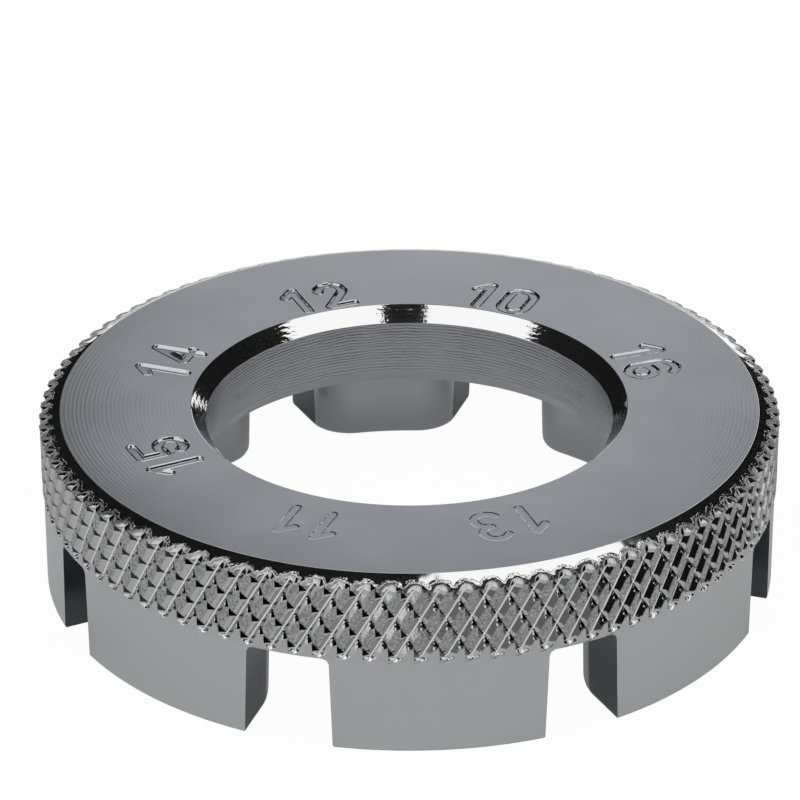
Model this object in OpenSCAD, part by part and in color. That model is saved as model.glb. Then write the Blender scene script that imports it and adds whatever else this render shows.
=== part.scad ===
// Round spoke wrench: one steel ring with a knurled rim and a skirt below it.
// Slots through the skirt grip spoke nipples of different gauges.
// The axis is Z, the tabs stand on the plane z = 0 and the marked face looks up.

/* [Ring] */
// Diameter of the skirt, across two opposite tabs
skirt_d = 44; // [40:0.5:60]
// Height from the feet of the tabs to the marked face
height = 11; // [10:0.25:16]
// Thickness of the flat ring that carries the tabs
web_t = 5.2; // [4.8:0.05:6]
// Diameter of the hole through the middle
bore_d = 24.4; // [22:0.2:26]

/* [Bevels] */
// Width of the polished bevel round the marked face
rim_bevel_w = 1.1; // [0.8:0.1:1.4]
// Depth of the polished bevel round the marked face
rim_bevel_h = 0.5; // [0.3:0.05:0.8]
// Width of the polished bevel at the mouth of the hole
bore_bevel_w = 0.85; // [0.5:0.05:1]
// Depth of the polished bevel at the mouth of the hole
bore_bevel_h = 0.9; // [0.5:0.05:1.2]
// Width of the bevel at the lower end of the hole
under_bevel_w = 0.75; // [0.5:0.05:1.2]
// Height of the bevel at the lower end of the hole
under_bevel_h = 1; // [0.6:0.05:1.4]

/* [Skirt] */
// Thickness of the skirt, measured through a tab
skirt_wall = 5.5; // [4.5:0.1:6]
// Radius on the upright inner edges of the tabs
tab_round = 2.6; // [1:0.1:2.8]
// Radius between the inside of a tab and its foot
foot_round = 0.6; // [0.3:0.1:1]
// Radius between the outside of a tab and its foot
toe_round = 0.2; // [0.1:0.05:0.4]

/* [Gauge slots] */
// Width of the unmarked slot, at its ceiling
plain_slot_w = 4.05; // [3:0.05:6]
// Width of the slot for 10 gauge, at its ceiling
gauge_10_w = 5.8; // [3:0.05:6]
// Width of the slot for 11 gauge, at its ceiling
gauge_11_w = 4.9; // [3:0.05:6]
// Width of the slot for 12 gauge, at its ceiling
gauge_12_w = 4.6; // [3:0.05:6]
// Width of the slot for 13 gauge, at its ceiling
gauge_13_w = 4.3; // [3:0.05:6]
// Width of the slot for 14 gauge, at its ceiling
gauge_14_w = 3.7; // [3:0.05:6]
// Width of the slot for 15 gauge, at its ceiling
gauge_15_w = 3.3; // [3:0.05:6]
// Width of the slot for 16 gauge, at its ceiling
gauge_16_w = 3; // [3:0.05:6]
// How much each wall of a slot leans out by the time it reaches the foot
slot_flare = 0.2; // [0.1:0.05:0.4]

/* [Knurl] */
// Number of grooves that lean each way
knurl_lines = 96; // [60:1:110]
// Slant of the grooves from upright, in degrees
knurl_slant = 30; // [25:1:35]
// Turn of the knurl from the unmarked slot, in degrees
knurl_turn = 1.2; // [0:0.1:3.7]
// Depth of the grooves that climb to the right, below the crests
knurl_depth = 0.3; // [0.2:0.05:0.35]
// Depth of the grooves that climb to the left, which are struck more lightly
knurl_light_depth = 0.22; // [0.12:0.05:0.27]
// Height of the crests above the skirt
knurl_crest = 0.1; // [0.05:0.05:0.2]
// Distance between the knurl's lower end and the ceilings of the slots
knurl_gap = 0.35; // [0.2:0.05:0.6]

/* [Numerals] */
// Height of a digit
digit_h = 3.5; // [2.4:0.1:3.6]
// Width of a digit
digit_w = 2.1; // [1.6:0.1:2.2]
// Width of the stamped line
digit_line = 0.56; // [0.3:0.02:0.6]
// Depth of the stamped line
digit_depth = 0.15; // [0.1:0.05:0.4]
// Gap between the two digits of a number
digit_gap = 0.15; // [0.1:0.05:0.4]
// Radius of the circle that the numbers are stamped round
digit_r = 15.8; // [15.7:0.1:16.3]

/* [Hidden] */
$fn = 96;

// How far a cut reaches past the solid that it cuts
overrun = 0.6;
// The rounding of a tab's edge crosses the faces on both sides of it instead of just touching them:
// distance of its centre from each face, as a share of its radius
edge_cross_share = 0.98;
// How far below the ceiling of the slots the rounding of a tab's edge stops
edge_stop = 0.1;

skirt_r = skirt_d / 2;
inner_r = skirt_r - skirt_wall;
bore_r = bore_d / 2;
slot_start_r = inner_r - 2 * overrun;
slot_run = skirt_r + overrun - slot_start_r;
crest_r = skirt_r + knurl_crest;
web_z = height - web_t;
knurl_low_z = web_z + knurl_gap;
knurl_high_z = height - rim_bevel_h;

// Slots anticlockwise from the unmarked one, seen from above
slot_widths = [plain_slot_w, gauge_16_w, gauge_10_w, gauge_12_w,
               gauge_14_w, gauge_15_w, gauge_11_w, gauge_13_w];
slot_step = 360 / len(slot_widths);

// Number at each slot as tens and units, in the same order, and none at the unmarked one
slot_numbers = [[], [1, 6], [1, 0], [1, 2], [1, 4], [1, 5], [1, 1], [1, 3]];
// Turn of each number from its slot, in degrees: they were struck by hand
number_turns = [0, -6.7, -4.2, -4.2, -1.2, -0.2, -3.2, -6];
// How far each number sits outside its circle, as a share of a digit's height
number_out_shares = [0, -0.15, -0.22, -0.2, -0.1, 0, 0.1, 0.1];

// Half of the ring's section, with the axis at x = 0
module ring_section() {
    difference() {
        polygon([
            [bore_r, web_z + under_bevel_h],
            [bore_r + under_bevel_w, web_z],
            [inner_r, web_z],
            [inner_r, 0],
            [skirt_r, 0],
            [skirt_r, knurl_low_z],
            [crest_r, knurl_low_z],
            [crest_r, knurl_high_z],
            [skirt_r, knurl_high_z],
            [skirt_r - rim_bevel_w, height],
            [bore_r + bore_bevel_w, height],
            [bore_r, height - bore_bevel_h]
        ]);
        translate([inner_r, 0]) corner_waste(foot_round);
        translate([skirt_r, 0]) mirror([1, 0]) corner_waste(toe_round);
    }
}

// What a rounding takes off a square corner at the origin, whose sides run along +X and +Y
module corner_waste(r) {
    difference() {
        translate([-overrun, -overrun]) square(r + overrun);
        translate([r, r]) circle(r);
    }
}

// One slot along +X, from inside the skirt to outside it, with its ceiling at web_z
module slot(w) {
    half = w / 2;
    translate([0, 0, -overrun]) {
        linear_extrude(web_z + overrun)
            translate([slot_start_r, -half]) square([slot_run, w]);
        linear_extrude(web_z + overrun - edge_stop) {
            tab_edge_waste(half);
            mirror([0, 1]) tab_edge_waste(half);
        }
    }
    flare_wedge(half);
    mirror([0, 1, 0]) flare_wedge(half);
}

// What the rounding takes off a tab's upright inner edge, beside a slot of this half width
module tab_edge_waste(half) {
    edge_x = sqrt(pow(inner_r, 2) - pow(half, 2));
    centre_r = inner_r + edge_cross_share * tab_round;
    centre_y = half + edge_cross_share * tab_round;
    centre_x = sqrt(pow(centre_r, 2) - pow(centre_y, 2));
    inside = (inner_r - overrun) / centre_r;
    difference() {
        polygon([
            [centre_x, half - overrun],
            [centre_x, centre_y],
            [centre_x * inside, centre_y * inside],
            [edge_x - overrun, half - overrun]
        ]);
        translate([centre_x, centre_y]) circle(tab_round);
    }
}

// The wedge that makes one wall of a slot lean out towards the foot
module flare_wedge(half) {
    lean = slot_flare / web_z;
    translate([slot_start_r, 0, 0])
        rotate([90, 0, 90])
            linear_extrude(slot_run)
                polygon([
                    [0, web_z],
                    [half, web_z],
                    [half + slot_flare + lean * overrun, -overrun],
                    [0, -overrun]
                ]);
}

module slots() {
    for (i = [0 : len(slot_widths) - 1])
        rotate(i * slot_step) slot(slot_widths[i]);
}

// One knurl groove: a V of this depth that runs up the rim at the knurl's slant, from its lower end
module groove(depth) {
    length = (height - knurl_low_z) / cos(knurl_slant);
    reach = (length / 2) * sin(knurl_slant);
    mouth = depth + overrun;
    rotate(asin(reach / crest_r))
        translate([crest_r, 0, (height + knurl_low_z) / 2])
            rotate([knurl_slant, 0, 0])
                translate([0, 0, -length / 2])
                    linear_extrude(length + overrun)
                        polygon([[-depth, 0], [overrun, mouth], [overrun, -mouth]]);
}

module knurl() {
    for (i = [0 : knurl_lines - 1])
        rotate(knurl_turn + i * 360 / knurl_lines) {
            groove(knurl_light_depth);
            mirror([0, 1, 0]) groove(knurl_depth);
        }
}

// A straight stamped line between two points, with round ends
module line(p, q) {
    run = q - p;
    translate(p)
        rotate(atan2(run[1], run[0]))
            translate([0, -digit_line / 2]) square([norm(run), digit_line]);
    translate(p) circle(digit_line / 2);
    translate(q) circle(digit_line / 2);
}

// A stamped line that bends round a centre, anticlockwise from one angle to the other
module bend(c, r, from, to) {
    far = r + digit_line;
    sides = 4;
    turn = (to - from) / sides;
    translate(c) {
        intersection() {
            difference() {
                circle(r + digit_line / 2);
                circle(r - digit_line / 2);
            }
            polygon(concat(
                [[0, 0]],
                [for (i = [0 : sides]) [cos(from + i * turn), sin(from + i * turn)] * far * 2]
            ));
        }
        for (a = [from, to])
            translate([cos(a), sin(a)] * r) circle(digit_line / 2);
    }
}

// The digits from 0 to 6, each centred on the origin
module digit(n) {
    x = (digit_w - digit_line) / 2;
    y = (digit_h - digit_line) / 2;
    if (n == 0) {
        bend([0, y - x], x, 0, 180);
        bend([0, x - y], x, 180, 360);
        line([-x, y - x], [-x, x - y]);
        line([x, y - x], [x, x - y]);
    }
    if (n == 1) {
        line([0, -y], [0, y]);
        line([0, y], [-x, y - x]);
    }
    if (n == 2) {
        bend([0, y - x], x, -30, 180);
        line([cos(30) * x, y - x - sin(30) * x], [-x, -y]);
        line([-x, -y], [x, -y]);
    }
    if (n == 3) {
        bend([0, y / 2], y / 2, -90, 150);
        bend([0, -y / 2], y / 2, -150, 90);
    }
    if (n == 4) {
        line([x / 2, -y], [x / 2, y]);
        line([x / 2, y], [-x, -y / 2]);
        line([-x, -y / 2], [x, -y / 2]);
    }
    if (n == 5) {
        line([x, y], [-x, y]);
        line([-x, y], [-x, x - y + x * sin(60)]);
        line([-x, x - y + x * sin(60)], [x * cos(120), x - y + x * sin(120)]);
        bend([0, x - y], x, -150, 120);
    }
    if (n == 6) {
        bend([0, x - y], x, 0, 360);
        line([-x, x - y], [-x, y - x]);
        bend([0, y - x], x, 30, 180);
    }
}

module number(digits) {
    step = digit_w + digit_gap;
    for (i = [0 : len(digits) - 1])
        translate([(i - (len(digits) - 1) / 2) * step, 0]) digit(digits[i]);
}

module numbers() {
    for (i = [0 : len(slot_numbers) - 1])
        if (len(slot_numbers[i]) > 0)
            rotate(i * slot_step + number_turns[i] - 90)
                translate([0, digit_r + number_out_shares[i] * digit_h, height - digit_depth])
                    linear_extrude(digit_depth + overrun) number(slot_numbers[i]);
}

module wrench_ring() {
    color("silver")
        difference() {
            rotate_extrude() ring_section();
            slots();
            knurl();
            numbers();
        }
}

wrench_ring();
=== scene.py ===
# %% [markdown]
# # A round spoke wrench
#
# A spoke wrench turns the nipples that hold a wheel's spokes. This one is a single plated steel ring: a
# flat web with a wide hole and stamped gauge numbers, a rim that is knurled for grip, and a skirt that
# slots of eight widths cut into tabs.
#
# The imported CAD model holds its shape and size. This script gives it its looks. It builds one closed skin
# with finer detail than the CAD mesh has, gives each surface the finish that its machining left, and
# lights it like a product photograph.
#
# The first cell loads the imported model.

# %% Load the frame
import math

import bmesh
import bpy
from mathutils import Matrix, Vector
from mathutils.geometry import delaunay_2d_cdt


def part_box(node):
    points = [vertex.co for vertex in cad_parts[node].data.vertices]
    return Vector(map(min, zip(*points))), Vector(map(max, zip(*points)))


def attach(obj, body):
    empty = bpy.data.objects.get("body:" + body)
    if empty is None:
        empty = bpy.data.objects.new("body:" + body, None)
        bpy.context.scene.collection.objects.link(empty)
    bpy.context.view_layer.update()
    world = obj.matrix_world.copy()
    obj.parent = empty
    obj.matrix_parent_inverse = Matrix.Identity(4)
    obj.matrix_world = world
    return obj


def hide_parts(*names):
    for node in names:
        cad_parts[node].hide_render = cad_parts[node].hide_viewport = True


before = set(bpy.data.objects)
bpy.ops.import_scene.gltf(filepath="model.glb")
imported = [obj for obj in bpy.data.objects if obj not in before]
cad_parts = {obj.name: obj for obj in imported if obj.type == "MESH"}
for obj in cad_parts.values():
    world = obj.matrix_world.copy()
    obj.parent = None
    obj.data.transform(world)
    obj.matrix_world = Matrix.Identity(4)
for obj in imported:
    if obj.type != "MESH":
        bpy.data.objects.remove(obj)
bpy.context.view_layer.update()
node_low, node_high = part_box("wrench_ring")
print("frame box in mm:", [round(1000 * v, 2) for v in (*node_low, *node_high)])

# %% [markdown]
# ## Sizes of the ring
#
# The height comes from the frame. The main lengths repeat the CAD model's own sizes, because a script
# that dresses a part can't read the part's source. Only the skin has the tiny rounding of the edges.
# Blender works in metres here, and a machinist thinks in millimetres, so each length is written as
# millimetres times `MM`.

# %% Sizes of the ring
MM = 0.001
TOP_Z = node_high.z
WEB_Z = TOP_Z - 5.2 * MM
SKIRT_R = 22.0 * MM
INNER_R = 16.5 * MM
BORE_R = 12.2 * MM

RIM_BEVEL_W = 1.1 * MM
RIM_BEVEL_H = 0.5 * MM
RIM_BEVEL_SLOPE = RIM_BEVEL_H / RIM_BEVEL_W
BORE_BEVEL_W = 0.85 * MM
BORE_BEVEL_H = 0.9 * MM
UNDER_BEVEL_W = 0.75 * MM
UNDER_BEVEL_H = 1.0 * MM
EDGE_ROUND = 0.04 * MM

# slots anticlockwise from the unmarked one, seen from above: number, width at the ceiling
SLOTS = [
    ("", 4.05 * MM), ("16", 3.0 * MM), ("10", 5.8 * MM), ("12", 4.6 * MM),
    ("14", 3.7 * MM), ("15", 3.3 * MM), ("11", 4.9 * MM), ("13", 4.3 * MM),
]
SLOT_STEP = 2 * math.pi / len(SLOTS)
print("height in mm:", round(TOP_Z / MM, 3), "slots:", len(SLOTS))

# %% [markdown]
# ## Sizes of the knurl
#
# A knurling tool presses two hard wheels into the turning rim. Each wheel rolls a set of slanted grooves,
# and where the sets cross they leave diamonds. Here the set that climbs to the right came out deep, and
# the other set is only a scratch with a dark notch at each crossing.
#
# The number and the slant of the grooves are the CAD model's. Their depths follow the photograph more
# closely: the deep ones are a little deeper than in the CAD model, and the others far shallower.
#
# The skin has twelve columns of faces for each groove. A row is as high as makes both sets of grooves run
# from corner to corner, so no groove is torn into steps.

# %% Sizes of the knurl
CREST_R = 22.1 * MM
KNURL_LINES = 96
KNURL_SLANT = math.radians(30)
KNURL_TURN = math.radians(1.25)
KNURL_DEPTH = 0.34 * MM
KNURL_LIGHT_DEPTH = 0.06 * MM
KNURL_CROSS_Z = 6.12 * MM
KNURL_RUN_OUT = 0.2 * MM
KNURL_FINE_Z = TOP_Z - 0.7 * MM
KNURL_TOP_Z = TOP_Z - 0.16 * MM
KNURL_ROWS_BELOW = 2
COLUMNS_PER_LINE = 12

COLUMNS = KNURL_LINES * COLUMNS_PER_LINE
COLUMN_TURN = 2 * math.pi / COLUMNS
KNURL_ROW_H = CREST_R * COLUMN_TURN / 2 / math.tan(KNURL_SLANT)
KNURL_PITCH = 2 * math.pi * CREST_R / KNURL_LINES
print("columns:", COLUMNS, "pitch in mm:", round(KNURL_PITCH / MM, 3),
      "row in mm:", round(KNURL_ROW_H / MM, 4))

# %% [markdown]
# ## The skin as rows
#
# A ring like this could be spun from a profile and cut with booleans. Booleans leave long thin triangles,
# and the fine knurl would then tear. So the skin is made as rows of corners round the axis instead. Rows
# have the same number of corners, and two neighbours join into a strip of four-sided faces.
#
# `Skin` collects the corners, the faces and the finish of each face. `in_band` marks the rows that the
# knurl may move later.

# %% Rows and strips
FINISHES = ["turned_face", "polished_bevel", "turned_bore", "knurled_rim", "plated_skirt",
            "slot_wall", "inner_wall", "stamped_mark"]


class Skin:
    """Corners and faces of the ring's surface. A row is a list of corner numbers."""

    def __init__(self):
        self.corners = []
        self.in_band = []
        self.faces = []
        self.finishes = []

    def row(self, points, in_band=0.0):
        first = len(self.corners)
        self.corners.extend(tuple(p) for p in points)
        self.in_band.extend([in_band] * len(points))
        return list(range(first, len(self.corners)))

    def ring(self, radius, z, turn=0.0, in_band=0.0):
        angles = [KNURL_TURN + j * COLUMN_TURN + turn for j in range(COLUMNS)]
        return self.row([(radius * math.cos(a), radius * math.sin(a), z) for a in angles], in_band)

    def face(self, corners, finish):
        self.faces.append(tuple(corners))
        self.finishes.append(FINISHES.index(finish))

    def strip(self, low, high, finish, closed=True, split_left=False):
        for j in range(len(low) if closed else len(low) - 1):
            k = (j + 1) % len(low)
            corners = (low[j], low[k], high[k], high[j])
            self.face(corners[1:] + corners[:1] if split_left else corners, finish)


skin = Skin()
print("finishes:", FINISHES)

# %% [markdown]
# Two small helpers make roundings. The first spaces angles over a quarter turn. The second rounds a
# corner of a section, the cut through the ring that shows its profile.

# %% Roundings
def arc_steps(count):
    """Angles from 0 to 90 degrees, in this many equal steps."""
    return [math.pi / 2 * i / count for i in range(count + 1)]


def rounded_corner(corner, before, after, radius, steps):
    """Points of a rounding at a corner of a section, between the points before and after it."""
    c = Vector(corner)
    to_before = (Vector(before) - c).normalized()
    to_after = (Vector(after) - c).normalized()
    half = to_before.angle(to_after) / 2
    reach = radius / math.tan(half)
    centre = c + (to_before + to_after).normalized() * radius / math.sin(half)
    start = c + to_before * reach - centre
    end = c + to_after * reach - centre
    turn = start.angle(end)
    points = []
    for i in range(steps + 1):
        share = i / steps
        mix = start * math.sin((1 - share) * turn) + end * math.sin(share * turn)
        points.append(centre + mix / math.sin(turn))
    return points


print("a quarter turn in two steps:", [round(math.degrees(a)) for a in arc_steps(2)])

# %% [markdown]
# ## Tabs
#
# A cutter sweeps in from the side and leaves a slot with straight walls that lean out a little towards
# the feet. The upright inner edges of each tab are rounded, so that a spoke slides past them. These
# helpers give a slot's width at a height, and the rounded inner edge beside it.

# %% Slot widths and inner edges
TAB_ROUND = 2.6 * MM
CEILING_ROUND = 0.35 * MM
SLOT_FLARE = 0.2 * MM
EDGE_STEPS = 12


def wall_columns(width):
    """Half a slot's width in columns, where its walls meet the ceiling."""
    return round(math.asin((width / 2 - CEILING_ROUND) / SKIRT_R) / COLUMN_TURN)


def slot_half(width, z):
    """Half a slot's width at a height: its walls lean out towards the foot."""
    return width / 2 + SLOT_FLARE * (WEB_Z - z) / WEB_Z


def inner_corner(side, angle, half, inner_r):
    """The rounded upright inner edge beside a slot, from the slot's wall to the inside of the tab."""
    centre_y = half + TAB_ROUND
    centre_x = math.sqrt((inner_r + TAB_ROUND) ** 2 - centre_y ** 2)
    start = -math.pi / 2
    end = -math.pi + math.atan2(centre_y, centre_x)
    points = []
    for i in range(EDGE_STEPS + 1):
        a = start + (end - start) * i / EDGE_STEPS
        x = centre_x + TAB_ROUND * math.cos(a)
        y = side * (centre_y + TAB_ROUND * math.sin(a))
        points.append(Vector((x * math.cos(angle) - y * math.sin(angle),
                              x * math.sin(angle) + y * math.cos(angle))))
    return points


print("half slots in columns:", [wall_columns(width) for _, width in SLOTS])

# %% [markdown]
# Seen from above, a tab is a closed loop: the outside, one slot wall, the inside with its two rounded
# edges, and the other slot wall. The inside gets as many points as the outside, so that the two can be
# joined by a grid under the foot.

# %% Sides of a tab
WALL_STEPS = 3
MIDDLE_STEPS = 24


def spread(path, count):
    """count + 1 points at equal distances along a path."""
    lengths = [0.0]
    for a, b in zip(path, path[1:]):
        lengths.append(lengths[-1] + (b - a).length)
    points = []
    k = 0
    for i in range(count + 1):
        want = lengths[-1] * i / count
        while k < len(path) - 2 and lengths[k + 1] < want:
            k += 1
        share = (want - lengths[k]) / (lengths[k + 1] - lengths[k])
        points.append(path[k].lerp(path[k + 1], min(max(share, 0.0), 1.0)))
    return points


def tab_sides(index, z, outer_inset, inner_inset, wall_inset):
    """The outer side and the inner side of a tab at a height, both anticlockwise."""
    angle_a = index * SLOT_STEP
    angle_b = angle_a + SLOT_STEP
    width_a = SLOTS[index][1]
    width_b = SLOTS[(index + 1) % len(SLOTS)][1]
    half_a = slot_half(width_a, z) + wall_inset
    half_b = slot_half(width_b, z) + wall_inset
    outer_r = SKIRT_R - outer_inset
    inner_r = INNER_R + inner_inset
    count = COLUMNS // len(SLOTS) - wall_columns(width_a) - wall_columns(width_b)
    from_a = angle_a + math.asin(half_a / outer_r)
    to_b = angle_b - math.asin(half_b / outer_r)
    angles = [from_a + (to_b - from_a) * i / count for i in range(count + 1)]
    outer = [Vector((outer_r * math.cos(a), outer_r * math.sin(a))) for a in angles]
    edge_a = inner_corner(1, angle_a, half_a, inner_r)
    edge_b = inner_corner(-1, angle_b, half_b, inner_r)[::-1]
    start = math.atan2(edge_a[-1].y, edge_a[-1].x)
    sweep = (math.atan2(edge_b[0].y, edge_b[0].x) - start) % (2 * math.pi)
    angles = [start + sweep * i / MIDDLE_STEPS for i in range(1, MIDDLE_STEPS)]
    middle = [Vector((inner_r * math.cos(a), inner_r * math.sin(a))) for a in angles]
    return outer, spread(edge_a + middle + edge_b, count)


print("points along the first tab:", len(tab_sides(0, WEB_Z, 0, 0, 0)[0]))

# %% [markdown]
# A tab comes down in levels. Insets of its three kinds of side draw the loop in or out from level to
# level, and that makes the rounding under the ceiling and the small roundings at the foot. The levels lie
# closer together where a rounding turns fastest.

# %% Levels of a tab
FOOT_ROUND = 0.6 * MM
TOE_ROUND = 0.2 * MM
WALL_FOOT_ROUND = 0.12 * MM
CEILING_STEPS = 2
FOOT_SHARES = (1.0, 0.55, 0.25, 0.06, 0.0)


def round_inset(radius, z):
    """How far a rounding of this radius has drawn a side in, at a height above the foot."""
    missing = 1 - min(z / radius, 1)
    return radius * (1 - math.sqrt(1 - missing ** 2))


levels = []
for a in arc_steps(CEILING_STEPS):
    grow = CEILING_ROUND * (1 - math.sin(a))
    levels.append((WEB_Z - CEILING_ROUND * (1 - math.cos(a)), 0.0, -grow, -grow))
levels.append((WEB_Z / 2, 0.0, 0.0, 0.0))
for share in FOOT_SHARES:
    z = share * FOOT_ROUND
    levels.append((z, *[round_inset(radius, z) for radius in (TOE_ROUND, FOOT_ROUND, WALL_FOOT_ROUND)]))
print("tab levels in mm:", [round(level[0] / MM, 3) for level in levels])

# %% [markdown]
# `tab_loop` puts a tab's four sides into the skin at one level. `wall_row` picks the row along one of its
# slot walls. The highest loops also fill most of two rows that close round the whole ring: one on the
# outside, where the knurled rim starts, and one on the inside, where the web's underside ends.

# %% Tabs at the ceiling
def tab_loop(index, level):
    """The corners along a tab's four sides, at a level."""
    outer, inner = tab_sides(index, *level)
    sides = {"outer": outer, "inner": inner}
    for name, end in (("wall_a", 0), ("wall_b", -1)):
        sides[name] = [outer[end].lerp(inner[end], i / WALL_STEPS) for i in range(1, WALL_STEPS)]
    return {name: skin.row([(p.x, p.y, level[0]) for p in points]) for name, points in sides.items()}


def wall_row(loop, end):
    """The row along a slot wall, from outside to inside. The end is 0 for wall a and -1 for wall b."""
    return [loop["outer"][end], *loop["wall_b" if end else "wall_a"], loop["inner"][end]]


SECTOR = COLUMNS // len(SLOTS)
outer_row = [None] * COLUMNS
inner_row = [None] * COLUMNS
tabs = []
for index in range(len(SLOTS)):
    loop = tab_loop(index, levels[0])
    tabs.append(loop)
    first_column = index * SECTOR + wall_columns(SLOTS[index][1])
    for i, (outer_id, inner_id) in enumerate(zip(loop["outer"], loop["inner"])):
        outer_row[(first_column + i) % COLUMNS] = outer_id
        inner_row[(first_column + i) % COLUMNS] = inner_id
print("columns that the tabs fill:", sum(corner is not None for corner in outer_row))

# %% [markdown]
# The ceiling of a slot is a grid between the walls of its two neighbours. Its outermost points are pushed
# out onto the skirt's radius, so that the rim above stays round over the slots.

# %% Ceilings of the slots
for index in range(len(SLOTS)):
    half_columns = wall_columns(SLOTS[index][1])
    left = wall_row(tabs[index - 1], -1)
    right = wall_row(tabs[index], 0)
    rows = [left]
    for i in range(1, 2 * half_columns):
        share = i / (2 * half_columns)
        points = [Vector(skin.corners[a]).lerp(Vector(skin.corners[b]), share) for a, b in zip(left, right)]
        points[0].xy = points[0].xy.normalized() * SKIRT_R
        rows.append(skin.row(points))
        column = (index * SECTOR - half_columns + i) % COLUMNS
        outer_row[column] = rows[-1][0]
        inner_row[column] = rows[-1][-1]
    rows.append(right)
    for a, b in zip(rows, rows[1:]):
        skin.strip(a, b, "slot_wall", closed=False)
print("gaps left in the outer row:", outer_row.count(None))

# %% [markdown]
# Each tab goes down level by level. Its foot is a grid between the outer and the inner side.

# %% Tab sides and feet
for index, tab in enumerate(tabs):
    upper = tab
    for level in levels[1:]:
        lower = tab_loop(index, level)
        skin.strip(lower["outer"], upper["outer"], "plated_skirt", closed=False)
        skin.strip(upper["inner"], lower["inner"], "inner_wall", closed=False)
        for end in (0, -1):
            skin.strip(wall_row(upper, end), wall_row(lower, end), "slot_wall", closed=False)
        upper = lower
    left = wall_row(upper, 0)
    last = len(upper["outer"]) - 1
    for i in range(1, last + 1):
        if i == last:
            right = wall_row(upper, -1)
        else:
            a = Vector(skin.corners[upper["outer"][i]])
            b = Vector(skin.corners[upper["inner"][i]])
            between = skin.row([a.lerp(b, s / WALL_STEPS) for s in range(1, WALL_STEPS)])
            right = [upper["outer"][i], *between, upper["inner"][i]]
        skin.strip(left, right, "inner_wall", closed=False)
        left = right
print("corners after the tabs:", len(skin.corners))

# %% [markdown]
# ## Rim
#
# The rim is still a plain cylinder here. Its rows lean with the grooves that climb to the right, so those
# grooves follow the columns. Near the top the rows are half as high, because the pattern ends there in
# small arches.

# %% Rows of the knurled rim
previous = outer_row
step = -KNURL_ROWS_BELOW
z = KNURL_CROSS_Z + step * KNURL_ROW_H
while z < KNURL_TOP_Z:
    turn = (step + KNURL_ROWS_BELOW) * COLUMN_TURN / 2
    current = skin.ring(SKIRT_R, z, turn, in_band=1.0)
    skin.strip(previous, current, "plated_skirt", split_left=True)
    previous = current
    last_z = z
    step += 0.5 if z > KNURL_FINE_Z else 1
    z = KNURL_CROSS_Z + step * KNURL_ROW_H
print("knurl rows up to", round(last_z / MM, 3), "mm")

# %% [markdown]
# A bevel breaks the edge between the rim and the marked face. The last knurl row already lies on it, so
# the bevel goes on from there. Even a polished edge has a tiny rounding, which catches the light.

# %% Rim bevel
RIM_EDGE_STEPS = 2

top_edge_r = SKIRT_R - RIM_BEVEL_W
bevel_low = (top_edge_r + (TOP_Z - last_z) / RIM_BEVEL_SLOPE, last_z)
rim_edge = rounded_corner((top_edge_r, TOP_Z), bevel_low, (BORE_R, TOP_Z), EDGE_ROUND * 2, RIM_EDGE_STEPS)
for p in rim_edge:
    current = skin.ring(p.x, p.y, turn)
    skin.strip(previous, current, "polished_bevel")
    previous = current
rim_top_row = previous
print("rim edge in mm:", [(round(p.x / MM, 2), round(p.y / MM, 2)) for p in rim_edge])

# %% [markdown]
# ## Hole
#
# The section of the hole has a bevel at the marked face, a straight wall, and a bevel at the web's
# underside. Each of its corners has a tiny rounding. The rim's rows have turned as they climbed, so the
# last row of the hole is counted on by the same turn before it meets the tabs' insides.

# %% Hole
section = [
    (BORE_R + BORE_BEVEL_W, TOP_Z),
    (BORE_R, TOP_Z - BORE_BEVEL_H),
    (BORE_R, WEB_Z + UNDER_BEVEL_H),
    (BORE_R + UNDER_BEVEL_W, WEB_Z),
]
section_finishes = ["polished_bevel", "turned_bore", "turned_bore", "inner_wall"]
ends = [(SKIRT_R, TOP_Z), *section, (INNER_R, WEB_Z)]
previous = None
for i in range(1, len(section) + 1):
    for k, p in enumerate(rounded_corner(ends[i], ends[i - 1], ends[i + 1], EDGE_ROUND, 1)):
        current = skin.ring(p.x, p.y, turn)
        if previous is None:
            bore_top_row = current
        else:
            skin.strip(previous, current, section_finishes[i - 1] if k else section_finishes[i - 2])
        previous = current
shift = round(turn / COLUMN_TURN)
aligned = [previous[(j - shift) % COLUMNS] for j in range(COLUMNS)]
skin.strip(aligned, inner_row, "inner_wall")
print("the rows have turned by", shift, "columns")

# %% [markdown]
# ## Marked face with its stamped numbers
#
# A punch has driven each gauge number into the face. A digit is a few strokes, and a stroke is a line of
# points along its middle. Blender's text object could give a digit too, but it draws outlines of a
# printed font. Strokes keep the even width of a punch, and their distance gives the depth.

# %% Digits as strokes
DIGIT_H = 3.5 * MM
DIGIT_W = 2.1 * MM
DIGIT_LINE = 0.56 * MM
BEND_STEP = 20


def bend(centre, radius, start, end):
    """Points of an arc between two angles in degrees."""
    steps = max(3, round(abs(end - start) / BEND_STEP))
    angles = [math.radians(start + (end - start) * i / steps) for i in range(steps + 1)]
    return [Vector((centre[0] + radius * math.cos(a), centre[1] + radius * math.sin(a))) for a in angles]


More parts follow.
